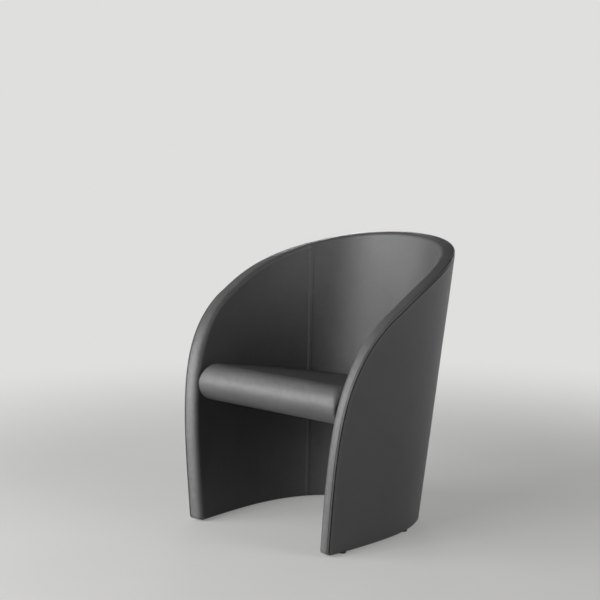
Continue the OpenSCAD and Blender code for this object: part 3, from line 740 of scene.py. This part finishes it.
# Outer leather
def outer_panel():
    """The outer leather over its thin foam."""
    depth, e = np.array(OUTER_GROOVE).T
    angle, z = columns.below(e)
    z = np.maximum(z, BOTTOM_Z)
    near = np.exp(-((e - 5) / 7.0) ** 2)
    near[:OUTER_STILL_ROWS] = 0
    flat = wall_spot(angle, z, depth)
    depth = depth - 0.13 * near * waves(flat, (0.6, 12.0, 6), (0.6, 30.0, 7))

    wall_angle, wall_z = columns.wall_rows(WALL_Q, LOW_HEIGHTS, LOW_SHARES)
    flat = wall_spot(wall_angle, wall_z, 0)
    keep = smooth(wall_z - BOTTOM_Z, 1, 30) * smooth(np.arange(wall_z.shape[1]), 0, 8)
    wall_depth = -keep * waves(flat, (0.35, 170.0, 8), (0.14, 55.0, 9))

    z = np.hstack([z, wall_z])
    face = wall_spot(np.hstack([angle, wall_angle]), z,
                     np.hstack([depth, wall_depth]) + turned_under(z))
    back = hidden_face([7.4, 8.6, RIM_R - 0.1, RIM_R + 0.3], [1.75, 1.75, 1.8, OUTER_FOAM_END])
    wear = np.full(z.shape, PLAIN)
    wear[:, :len(e)] = np.exp(-(e / 9.0) ** 2)
    # The outer leather's rows in the seam's groove are painted dark as shade.
    wear[:, :OUTER_SHADED_ROWS] = GROOVE_SHADE
    return leather_panel("outer_panel", face, back, columns.side, wear)


outer = outer_panel()


def piped_seam():
    """Leather piping along the rim, with the small puckers that the stitching draws into it."""
    angle, z = columns.below(WELT_R)
    centre = wall_spot(angle, np.maximum(z, BOTTOM_Z + WELT_R), WELT_DEPTH)[:, 0]
    centre[:, 0] *= columns.side
    length = run_along(centre)
    fine = np.linspace(0, length[-1], int(length[-1] / WELT_STEP))
    path = at_lengths(centre, length, fine)
    for _ in range(3):
        path[1:-1] = (path[:-2] + 2 * path[1:-1] + path[2:]) / 4
    along = unit(np.gradient(path, axis=0))
    nx, ny = outward(angle[:, 0], z[:, 0])
    out = at_lengths(np.stack([nx * columns.side, ny, 0 * nx], 1), length, fine)
    out = unit(out - (out * along).sum(1, keepdims=True) * along)
    across = np.cross(along, out)
    sides = 12
    turns = np.arange(sides) * 2 * math.pi / sides
    pucker = PUCKER * np.sin(fine * 2 * math.pi / PUCKER_PITCH + 2 * np.sin(fine / 37.0))
    radius = WELT_R * (1 + pucker[:, None] * (0.4 - 0.6 * np.cos(turns)))
    ring = path[:, None] + radius[..., None] * (np.cos(turns)[:, None] * out[:, None]
                                                + np.sin(turns)[:, None] * across[:, None])
    return make_mesh("piped_seam", ring.reshape(-1, 3), rod_faces(len(path), sides), WELT_LEATHER,
                     np.full(radius.shape, PLAIN))


welt = piped_seam()


def stitches(name, lines):
    """Sewn thread: each line is points and normals, and each stitch is a short bowed capsule."""
    points, faces = [], []
    sides = 6
    shape = [(-0.5, 0.35, -1.6), (-0.42, 0.85, -0.5), (-0.2, 1.0, 0.05), (0.0, 1.0, 0.2),
             (0.2, 1.0, 0.05), (0.42, 0.85, -0.5), (0.5, 0.35, -1.6)]
    for line, normals in lines:
        run = run_along(line)
        for middle in np.arange(STITCH_PITCH, run[-1] - STITCH_PITCH, STITCH_PITCH):
            faces += moved(rod_faces(len(shape), sides), len(points))
            for share, fat, lift in shape:
                place = middle + share * STITCH_LENGTH
                p = at_lengths(line, run, place)
                n = unit(at_lengths(normals, run, place))
                b = unit(np.cross(n, unit(at_lengths(line, run, place + 0.5) - p)))
                p = p + n * (STITCH_SINK + lift * STITCH_T)
                for turn in np.arange(sides) * 2 * math.pi / sides:
                    points.append(p + fat * STITCH_T * (math.cos(turn) * n + math.sin(turn) * b))
    return make_mesh(name, points, faces, THREAD)


def seam_lines(lap_place):
    """Lines and normals on the back panel's face where a row of stitches runs, on both sides."""
    found = []
    nearest = int(np.argmin(np.abs(columns.lap[:columns.half] - lap_place)))
    for column in (nearest, LAST - nearest):
        rise = lap_height(columns.lap[column])
        nd, ne = [values[0] for values in lap_directions([column])]
        angle = inner_angle[column]
        z = inner_z[column] + rise * ne * columns.dz[column]
        line = wall_spot(angle, z, inner_depth[column] + rise * nd - turned_under(z))
        line[:, 0] *= columns.side[column]
        nx, ny = outward(angle, z)
        normal = unit(np.stack([-nx * nd * columns.side[column], -ny * nd, -ne], 1))
        keep = slice(5, -6)
        found.append((line[keep], normal[keep]))
    return found


seam_thread = stitches("seam_stitches", seam_lines(STITCH_NEAR) + seam_lines(STITCH_FAR))


# Seat
def seat_world(u, h):
    """World y from the widest line and world z of a place in the seat's frame."""
    return ROLL_Y + u * FALL_COS + h * FALL_SIN, ROLL_Z - u * FALL_SIN + h * FALL_COS


def seat_u_of(y, h):
    return (y - ROLL_Y - h * FALL_SIN) / FALL_COS


def on_seat(points):
    """Points [x, u, h] of the seat's frame in the row frame."""
    y, z = seat_world(points[..., 1], points[..., 2])
    return np.stack([points[..., 0], y - DEPTH_MID, z], -1)


def at_height(line, h):
    """Points [x, u, h] from an outline [x, u] and its height, or the heights of its points."""
    return np.column_stack([line, np.broadcast_to(h, len(line))])


def room_half_w(u, h, gap):
    """Half the room between the walls at a place in the seat's frame."""
    y, z = seat_world(np.asarray(u, float), h)
    y = np.minimum(0, y)
    slant = outward(np.degrees(np.arcsin(y / ARM_REACH)), z)[1]
    angle = np.degrees(np.arcsin(np.clip((y + (WALL_T + gap) * slant) / ARM_REACH, -1, 1)))
    return plan(angle, z)[0] - (WALL_T + gap) * outward(angle, z)[0]


def back_spots(angle, h, gap):
    """Places x and u along the inside of the back, at a height in the seat's frame."""
    z = np.full_like(angle, ROLL_Z)
    for _ in range(4):
        x, y = plan(angle, z)
        nx, ny = outward(angle, z)
        x, y = x - (WALL_T + gap) * nx, y - (WALL_T + gap) * ny
        u = seat_u_of(y, h)
        z = seat_world(u, h)[1]
    return x, u


# Points of the seat's outline, and how evenly they stand round the back
CORNER_N, SIDE_N, BACK_N, FRONT_N = 9, 16, 128, 46
BACK_EVEN = 0.65


def seat_outline(h, gap, front_u, end_r):
    """Outline [x, u] of the seat at a height, from the right end of the front round the back."""
    start = front_u + end_r
    turn = np.radians(np.linspace(0, 90, CORNER_N))
    corner_x = room_half_w(start, h, gap) - end_r * (1 - np.sin(turn)) - END_GAP
    side_u = start + (seat_u_of(0, h) - start) * np.arange(1, SIDE_N) / SIDE_N
    side_x = room_half_w(side_u, h, gap) - END_GAP * (1 - smooth(side_u - start, 0, END_GAP_RUN))
    right_x = np.hstack([corner_x, side_x])
    right_u = np.hstack([start - end_r * np.cos(turn), side_u])
    even = np.linspace(0, 180, BACK_N + 1)
    back = even + (1 - BACK_EVEN) * (90 - 90 * np.cos(np.radians(even)) - even)
    back_x, back_u = back_spots(np.minimum(back, 180 - back), h, gap)
    back_x = np.where(back > 90, -back_x, back_x)
    front = corner_x[0] * np.linspace(-1, 1, FRONT_N + 1)[1:-1]
    x = np.hstack([right_x, back_x, -right_x[::-1], front])
    u = np.hstack([right_u, back_u, right_u[::-1], np.full(len(front), front_u)])
    return np.stack([x, u], 1)


def seat_ring(t, skin):
    """One ring of the seat's skin: t is -90 below, 0 at the roll's front and 90 on top."""
    r = ROLL_R - skin
    a = math.radians(t)
    h = r * math.sin(a)
    drawn = (EDGE_R if t > 0 else TUCK_R) * (1 - math.sqrt(max(0.0, math.cos(a))))
    end_r = END_R_LOW + (END_R_TOP - END_R_LOW) * float(smooth(t, -20, 60))
    return at_height(seat_outline(h, SEAT_GAP + skin + drawn, -r * math.cos(a), end_r - skin), h)


def crown_rings(shares):
    """Rings of the seat's crown, which turn from the outline to an oval towards the middle."""
    middle = np.array([0, seat_u_of(0, ROLL_R) * 2])
    away = seat_ring(90, 0)[:, :2] - middle
    angle = np.arctan2(away[:, 1], away[:, 0])
    oval = 0.93 * np.abs(away).max(0) * np.stack([np.cos(angle), np.sin(angle)], 1)
    rings = []
    for share in shares:
        shape = away + (oval - away) * smooth(share, 0.0, 0.8)
        rise = CROWN_H * (1 - math.cos(math.pi * share)) / 2
        rings.append(at_height(middle + shape * (1 - share), ROLL_R + rise))
    return rings


def seat_turns():
    """Turns of the seat's rings from its top to the roll's front, close where the skin bends most."""
    steps = {90.0, *np.arange(0, 66, 4.0)}
    steps.update(round(math.degrees(math.acos(c * c)), 3) for c in np.linspace(0.06, 1, 15))
    kept = [90.0]
    for t in sorted(steps, reverse=True):
        if kept[-1] - t > 0.9:
            kept.append(float(t))
    return kept


def seat_cushion():
    """The seat: one padded leather form over its frame, from the crown to the hem below."""
    crown = crown_rings([0.985, 0.95, 0.91, 0.87, 0.82, 0.77, 0.72, 0.67, 0.61, 0.55, 0.49, 0.43,
                         0.37, 0.31, 0.25, 0.2, 0.155, 0.115, 0.08, 0.05, 0.025])
    turns = seat_turns()
    skin = [seat_ring(t, 0) for t in turns]
    below = [seat_ring(-t, 0) for t in reversed(turns[:-1])]
    hem = []
    for s in (0.35, 0.7, 1.0):
        gap = SEAT_GAP + TUCK_R + (HEM_SIDE - TUCK_R) * s
        end_r = END_R_LOW + (ROLL_END_R - END_R_LOW) * s
        hem.append(at_height(seat_outline(UNDER_H, gap, HEM_FRONT * s, end_r), UNDER_H))
    lifted = at_height(hem[-1][:, :2], RING_H)
    inside = [seat_ring(t, LEATHER_T) for t in (-90, -75, -60, -45, -29.7)]
    inside[-1][:, 2] = FOAM_H
    middle = np.array([0, seat_u_of(0, ROLL_R) * 2, FOAM_H])
    floor = [middle + (inside[-1] - middle) * s for s in (0.7, 0.4, 0.1)]
    rings = np.array(crown + skin + below + hem + [lifted] + inside + floor)

    shown = np.zeros((len(rings), 1))
    shown[:len(crown + skin + below)] = 1
    fading = shown.copy()
    fading[len(crown + skin):len(crown + skin + below), 0] = np.linspace(1, 0, len(below))
    world = on_seat(rings)
    soft = waves(world, (0.5, 95.0, 11), (0.22, 34.0, 12))
    shift = (soft + roll_end_pull(rings)) * fading * wall_room(rings)
    world = world + ring_normals(world) * shift[..., None]
    wear = 0.8 * shown * smooth(-rings[..., 1], 10, 46) * smooth(rings[..., 2], -30, 20)
    return closed_form("seat_cushion", world, LEATHER, wear)


def ring_normals(world):
    """Outward directions at the points of closed rings."""
    along = np.roll(world, -1, 1) - np.roll(world, 1, 1)
    normal = unit(np.cross(along, np.gradient(world, axis=0)))
    centre = world.reshape(-1, 3).mean(0)
    inward = ((world - centre) * normal).sum(-1, keepdims=True) < 0
    return np.where(inward, -normal, normal)


def wall_room(rings):
    """1 on the top and the roll's front, 0 along the wall, where the seat can't swell."""
    return np.maximum(smooth(rings[..., 2], 15, 48), smooth(-rings[..., 1], 0, 30))


def roll_end_pull(rings):
    """Faint folds where the leather turns round the roll's ends."""
    x, u, h = rings[..., 0], rings[..., 1], rings[..., 2]
    end = smooth(np.abs(x), 170, 222) * smooth(-u, 5, 45)
    turn = np.degrees(np.arctan2(h, -u))
    wave = np.cos(np.radians(turn * 9)) * 0.5 + np.cos(np.radians(turn * 14 + 40)) * 0.3
    return 0.35 * end * wave


seat = seat_cushion()


# Below the seat
def outline_span(line, axis, value):
    """Where a closed outline crosses a line of constant x (axis 0) or u (axis 1)."""
    other = 1 - axis
    a, b = line, np.roll(line, -1, 0)
    cross = (a[:, axis] - value) * (b[:, axis] - value) < 0
    t = (value - a[cross, axis]) / (b[cross, axis] - a[cross, axis])
    hits = a[cross, other] + t * (b[cross, other] - a[cross, other])
    return hits.min(), hits.max()


def belt(across, place, line, other_places, phase):
    """One webbing belt: its section is lofted along it, over and under the belts it crosses."""
    axis = 1 if across else 0
    low_a, high_a = outline_span(line, axis, place - BELT_W / 2 + 1)
    low_b, high_b = outline_span(line, axis, place + BELT_W / 2 - 1)
    lane = np.linspace(-1, 1, BELT_LANES)
    low = low_a + (low_b - low_a) * (lane + 1) / 2
    high = high_a + (high_b - high_a) * (lane + 1) / 2
    run = low + (high - low) * np.linspace(0, 1, BELT_STEPS)[:, None]
    wave = 0
    for i, other in enumerate(other_places):
        wave = wave + (1 if (i + phase) % 2 else -1) * bump(run, other, BELT_W * 0.8)
    h = BELTS_H + BELT_T + wave * BELT_T * 0.5
    edge = 0.7 * (1 - np.abs(lane) ** 8) + 0.1
    side = place + lane * BELT_W / 2 + 0 * run
    spot = (run, side) if across else (side, run)
    top, bottom = np.stack([*spot, h + edge], -1), np.stack([*spot, h - edge], -1)
    return np.hstack([top, bottom[:, ::-1]])


def webbing(name, across):
    """All belts of one direction."""
    line = seat_outline(BELTS_H, RING_GAP + RING_W - BELT_LAP, RING_FRONT_W - BELT_LAP, RAIL_SEAT)
    back = seat_outline(BELTS_H, RING_GAP + RING_W, RING_FRONT_W, RAIL_SEAT)[:, 1].max()
    room = room_half_w(seat_u_of(0, BELTS_H), BELTS_H, RING_GAP + RING_W)
    row_step = (back - RING_FRONT_W) / ROWS_ACROSS
    lane_step = 2 * room / ROWS_LENGTHWISE
    rows = [RING_FRONT_W + row_step * (i + 0.5) for i in range(ROWS_ACROSS)]
    lanes = [-room + lane_step * (i + 0.5) for i in range(ROWS_LENGTHWISE)]
    places, others, phase = (rows, lanes, 0) if across else (lanes, rows, 1)
    points, faces = [], []
    for i, place in enumerate(places):
        rings = on_seat(belt(across, place, line, others, i + phase))
        faces += moved(band_faces(*rings.shape[:2]), len(points))
        points += list(rings.reshape(-1, 3))
    return make_mesh(name, points, faces, WEBBING)


def dust_cloth():
    """Black cloth stretched under the seat, with a little sag and folds at its stapled edge."""
    edge = seat_outline(RING_H, SEAT_GAP + HEM_SIDE - 4, HEM_FRONT - 4, ROLL_END_R)
    middle = np.array([0, seat_u_of(0, 0) * 2])
    wave = CLOTH_FOLD * np.abs(np.sin(run_along(edge) * 2 * math.pi / FOLD_PITCH))
    upper, lower = [], []
    for s in (0, 0.012, 0.03, 0.06, 0.1, 0.16, 0.24, 0.34, 0.46, 0.6, 0.75, 0.9, 0.98):
        line = edge + (middle - edge) * s
        folds = wave * np.exp(-((s - 0.05) / 0.06) ** 2)
        h = UNDER_H - 0.75 - CLOTH_SAG * smooth(s, 0.02, 0.7) - folds
        upper.append(at_height(line, h + CLOTH_T / 2))
        lower.append(at_height(line, h - CLOTH_T / 2))
    x, u = edge.T
    area = 0.5 * abs(np.dot(x, np.roll(u, -1)) - np.dot(u, np.roll(x, -1))) * MM * MM
    size = (float(np.ptp(x)) * MM, float(np.ptp(u)) * MM)
    piece = closed_form("dust_cloth", on_seat(np.array(lower[::-1] + upper)), CLOTH)
    return piece, size, float(area)


def staples():
    """Wire staples that hold the cloth to the ring."""
    edge = seat_outline(RING_H, SEAT_GAP + HEM_SIDE + 3, HEM_FRONT + 3, ROLL_END_R)
    line = np.vstack([edge, edge[:1]])
    length = run_along(line)
    half, top = STAPLE_HALF, UNDER_H - 1.35
    path = [(-half, top + 1.6), (-half, top + 0.3), (-half + 0.5, top - 0.35),
            (half - 0.5, top - 0.35), (half, top + 0.3), (half, top + 1.6)]
    section = [(-1, -1), (1, -1), (1, 1), (-1, 1)]
    points, faces = [], []
    for s in np.arange(STAPLE_PITCH / 2, length[-1], STAPLE_PITCH):
        faces += moved(rod_faces(len(path), len(section)), len(points))
        p = at_lengths(line, length, s)
        a = unit(at_lengths(line, length, s + 2) - p)
        b = np.array([-a[1], a[0]])
        for run, h in path:
            for aside, up in section:
                spot = p + a * run + b * aside * STAPLE_WIRE
                points.append((*spot, h + up * STAPLE_WIRE * 0.8))
    return make_mesh("cloth_staples", on_seat(np.array(points)), faces, STEEL)


belts_across = webbing("webbing_belts_across", True)
belts_along = webbing("webbing_belts_lengthwise", False)
cloth, cloth_size, cloth_area = dust_cloth()
cloth_staples = staples()


def edge_tape():
    """Woven tape that closes the wall's lower edge, with slightly rolled edges."""
    per_degree = float(reach_per_degree(np.array(-ARM_SWEEP), BOTTOM_Z))
    angle = np.linspace(-ARM_SWEEP + (CORNER_R + TAPE_INSET) / per_degree, 90, TAPE_STEPS)
    angle = np.hstack([angle, angle[-2::-1]])
    side = np.where(np.arange(len(angle)) < TAPE_STEPS, 1.0, -1.0)
    outer_edge = np.array([0, 0.25, 0.9]) + TAPE_INSET
    depth = np.hstack([outer_edge, [8, 17.7, 27], WALL_T - outer_edge[::-1]])
    low = np.array([0.75, 0.25, 0.02, 0.12, 0.02, 0.12, 0.02, 0.25, 0.75])
    ring = wall_spot(angle[:, None], BOTTOM_Z, np.hstack([depth, depth[::-1]]))
    ring[..., 0] *= side[:, None]
    ring[..., 2] = np.hstack([BOTTOM_Z - 1.5 + low, BOTTOM_Z - 0.02 - 0.1 * low[::-1]])
    return make_mesh("edge_tape", ring.reshape(-1, 3), band_faces(*ring.shape[:2]), STRIP)


tape = edge_tape()

# Finishes of the CAD nodes
for name, material in (("plywood_shell", PLY), ("seat_ring", RING_PLY), ("seat_front_rail", BEECH),
                       ("seat_blocks", BEECH), ("spacer_bushes", STEEL), ("seat_bolts", STEEL),
                       ("tee_nuts", STEEL), ("block_screws", STEEL), ("glides", GLIDE)):
    mesh = nodes[name].data
    if not mesh.materials:
        mesh.materials.append(material)
    for i in range(len(mesh.materials)):
        mesh.materials[i] = material

# What rides on the frame
for piece, slot, replaced in (
        (outer, "leather", ("outer_cover", "outer_foam")),
        (welt, "leather", ("edge_welt",)),
        (inner_right, "leather", ("inner_cover_right", "inner_foam_right")),
        (inner_back, "leather", ("inner_cover_back", "inner_foam_back")),
        (inner_left, "leather", ("inner_cover_left", "inner_foam_left")),
        (seam_thread, "leather", ()),
        (seat, "leather", ("seat_cover", "seat_foam")),
        (belts_across, "webbing", ("webbing_across",)),
        (belts_along, "webbing", ("webbing_lengthwise",)),
        (cloth, "cloth", ("seat_cloth",)),
        (cloth_staples, "steel", ()),
        (tape, "strip", ("base_strip",))):
    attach(piece, "root")
    if replaced:
        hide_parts(*replaced)


# Camera
CAMERA_PLACE = (2.9267, -3.3100, 1.2554)
CAMERA_DOWN, CAMERA_TURN, CAMERA_LENS = 8.2599, 42.8262, 96.198


def add_camera():
    data = bpy.data.cameras.new("camera")
    data.sensor_width = 36.0
    data.lens = CAMERA_LENS
    camera = add_object("camera", data)
    camera.location = CAMERA_PLACE
    camera.rotation_euler = (math.radians(90 - CAMERA_DOWN), 0, math.radians(CAMERA_TURN))
    bpy.context.scene.camera = camera


add_camera()


# Floor and light
BACKDROP, OVERHEAD = [0.74, 0.737, 0.73], [0.09, 0.09, 0.091]
SKY_LOW, SKY_HIGH = 0.045, 0.1
FILL_LIGHT = 0.03
FADE_NEAR, FADE_FAR = 0.9, 2.6
FLOOR_R, FLOOR_SIDES = 60.0, 64
AIM, REAR_AIM = (0, 0, 0.42), (0.2, 0, 0.7)

# Name, place, aim, width, height and power of each light
LIGHTS = [
    ("front_left", (-1.64, -3.52, 1.6), AIM, 1.7, 2.2, 79),
    ("front", (-0.34, -3.83, 1.7), AIM, 1.7, 2.2, 130),
    ("low_left", (-2.83, -2.83, 1.0), AIM, 1.7, 1.2, 68),
    ("high_left", (-2.23, -2.23, 2.86), AIM, 1.7, 1.7, 20),
    ("right", (3.5, 0.6, 2.2), AIM, 1.7, 1.7, 54),
    ("left", (-3.41, 0.6, 2.0), AIM, 1.7, 1.7, 10),
    ("back_left", (-2.7, 2.75, 1.15), REAR_AIM, 1.2, 0.8, 24),
    ("back", (-0.4, 4.0, 1.4), REAR_AIM, 1.4, 0.8, 20)]


def add_floor():
    """Round floor that fades into the backdrop away from the chair, for rays that see it."""
    m = Surface("floor", Specular_IOR_Level=0.15)
    tone = m.noise(1.3, 3, 0.5)
    colour = m.colours(tone, [(0.3, [0.44, 0.438, 0.432]), (0.7, [0.46, 0.458, 0.452])])
    material = m.done(colour, 0.75)
    far = m.add("VectorMath", {0: m.place}, operation="LENGTH")
    amount = m.ramp((far, "Value"), FADE_NEAR, FADE_FAR, 0.3, 1.0, "SMOOTHSTEP")
    share = m.math("MULTIPLY", amount, m.seen())
    pale = m.add("Emission", {"Color": BACKDROP})
    mixed = m.add("MixShader", {0: share, 1: (m.shader, "BSDF"), 2: (pale, "Emission")})
    m.feed(m.out, "Surface", (mixed, "Shader"))

    turns = [2 * math.pi * i / FLOOR_SIDES for i in range(FLOOR_SIDES)]
    points = [(0, 0, 0)] + [(FLOOR_R * math.cos(t), FLOOR_R * math.sin(t), 0) for t in turns]
    mesh = bpy.data.meshes.new("floor")
    mesh.from_pydata(points, [], [(0, i + 1, (i + 1) % FLOOR_SIDES + 1) for i in range(FLOOR_SIDES)])
    mesh.materials.append(material)
    add_object("floor", mesh)


def add_area(name, place, aim, width, height, power):
    data = bpy.data.lights.new(name, "AREA")
    data.shape = "RECTANGLE"
    data.size, data.size_y = width, height
    data.energy = power
    light = add_object(name, data)
    light.location = place
    light.rotation_euler = (Vector(aim) - Vector(place)).to_track_quat("-Z", "Y").to_euler()


def add_world():
    """Soft even light. Rays that see the world find a pale backdrop that darkens overhead."""
    world = bpy.data.worlds.new("studio")
    bpy.context.scene.world = world
    m = Nodes(world, "OutputWorld", "Background")
    parts = m.add("SeparateXYZ", {0: (m.coordinates, "Generated")})
    height = m.ramp((parts, "Z"), SKY_LOW, SKY_HIGH, 0, 1, "SMOOTHSTEP")
    m.feed(m.shader, "Color", m.mix(height, BACKDROP, OVERHEAD))
    fill = m.add("Background", {"Color": [1, 1, 1], "Strength": FILL_LIGHT})
    mixed = m.add("MixShader", {0: m.seen(), 1: (fill, 0), 2: (m.shader, 0)})
    m.feed(m.out, "Surface", (mixed, 0))


add_floor()
add_world()
for light in LIGHTS:
    add_area(*light)

bpy.context.scene.view_settings.view_transform = "Standard"
